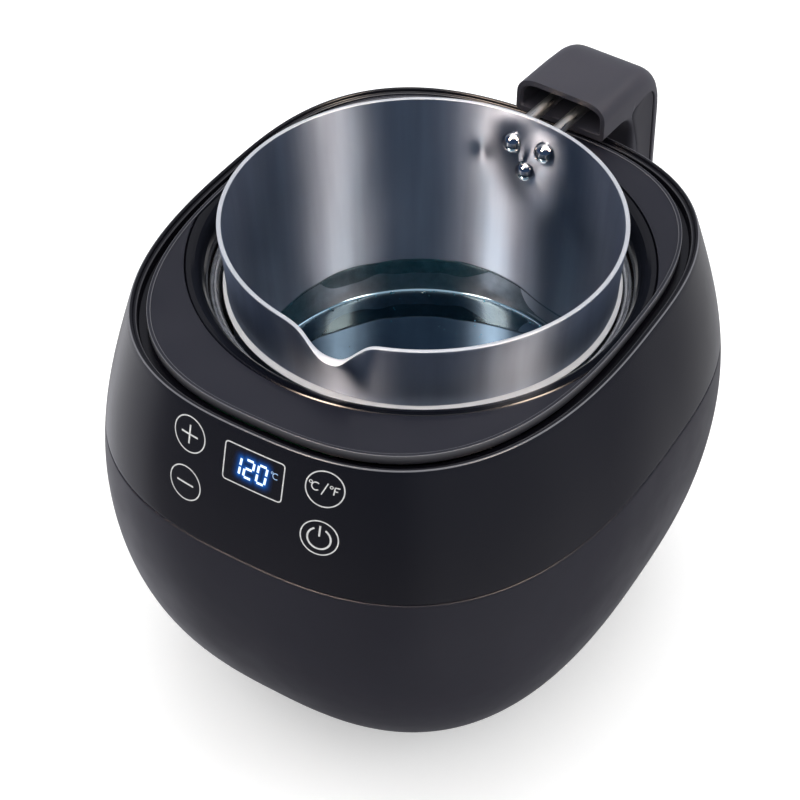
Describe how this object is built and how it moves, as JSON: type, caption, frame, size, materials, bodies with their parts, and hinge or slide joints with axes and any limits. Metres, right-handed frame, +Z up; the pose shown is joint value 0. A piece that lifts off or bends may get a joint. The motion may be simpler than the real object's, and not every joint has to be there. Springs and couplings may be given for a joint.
{
  "type": "wax warmer pot",
  "caption": "Rounded electric wax warmer with a stepped rim, touch controls on its front and a lift-out pouring pot with a lip and a side handle.",
  "frame": {"origin": "where the pot's axis meets the underside of the base plate; the rubber feet stand 3 mm below it", "axes": "+X to the right, -Y towards the controls, +Y towards the handle, +Z up"},
  "size_m": [0.1986, 0.2556, 0.18],
  "materials": {
    "casing_satin": "satin",
    "casing_gloss": "gloss",
    "deck_satin": "satin",
    "collar_gloss": "gloss",
    "polished_aluminium": "polished",
    "bowl_aluminium": "polished",
    "wax_blue": "glossy, translucent",
    "polished_steel": "polished",
    "satin_steel": "satin",
    "zinc_steel": "zinc plated",
    "red_silicone": "matte",
    "felt": "matte",
    "circuit_board": "satin",
    "black_plastic": "matte",
    "display_black": "gloss",
    "heater_steel": "heat darkened",
    "cast_aluminium": "cast",
    "ceramic_white": "matte",
    "brass": "satin",
    "relay_blue": "satin",
    "tape_yellow": "satin",
    "terminal_green": "satin",
    "lead_red": "matte",
    "lead_brown": "matte",
    "cable_grey": "satin",
    "foot_rubber": "matte"
  },
  "bodies": {
    "base": {"lower_shell": "casing_satin", "upper_shell": "casing_gloss", "top_deck": "deck_satin", "bowl_collar": "collar_gloss", "bowl_gasket": "red_silicone", "heating_bowl": "bowl_aluminium", "heater_plate": "cast_aluminium", "heating_element": "heater_steel", "element_clamp": "zinc_steel", "temperature_sensor": "brass", "thermal_fuse": "ceramic_white", "insulation": "felt", "heat_shield": "zinc_steel", "collar_screws": "zinc_steel", "control_board": "circuit_board", "display_module": "display_black", "touch_springs": "zinc_steel", "panel_screws": "zinc_steel", "ribbon_cable": "cable_grey", "power_board": "circuit_board", "transformer": "tape_yellow", "relay": "relay_blue", "filter_capacitor": "black_plastic", "terminal_block": "terminal_green", "board_screws": "zinc_steel", "heater_leads": "lead_red", "mains_leads": "lead_brown", "power_inlet": "black_plastic", "inlet_pins": "brass", "base_plate": "casing_satin", "base_screws": "zinc_steel", "rubber_feet": "foot_rubber"},
    "pot": {"pot": "polished_aluminium", "wax": "wax_blue", "handle_bracket": "satin_steel", "handle_rivets": "polished_steel", "handle_rods": "satin_steel", "rod_clamp": "zinc_steel", "clamp_screws": "zinc_steel", "grip_shell": "casing_satin", "grip_core": "deck_satin", "grip_screws": "zinc_steel"}
  },
  "joints": [
    {"name": "pot_lift", "type": "slide", "parent": "base", "child": "pot", "axis": [0, 0, 1], "range_m": [0, 0.12]}
  ]
}
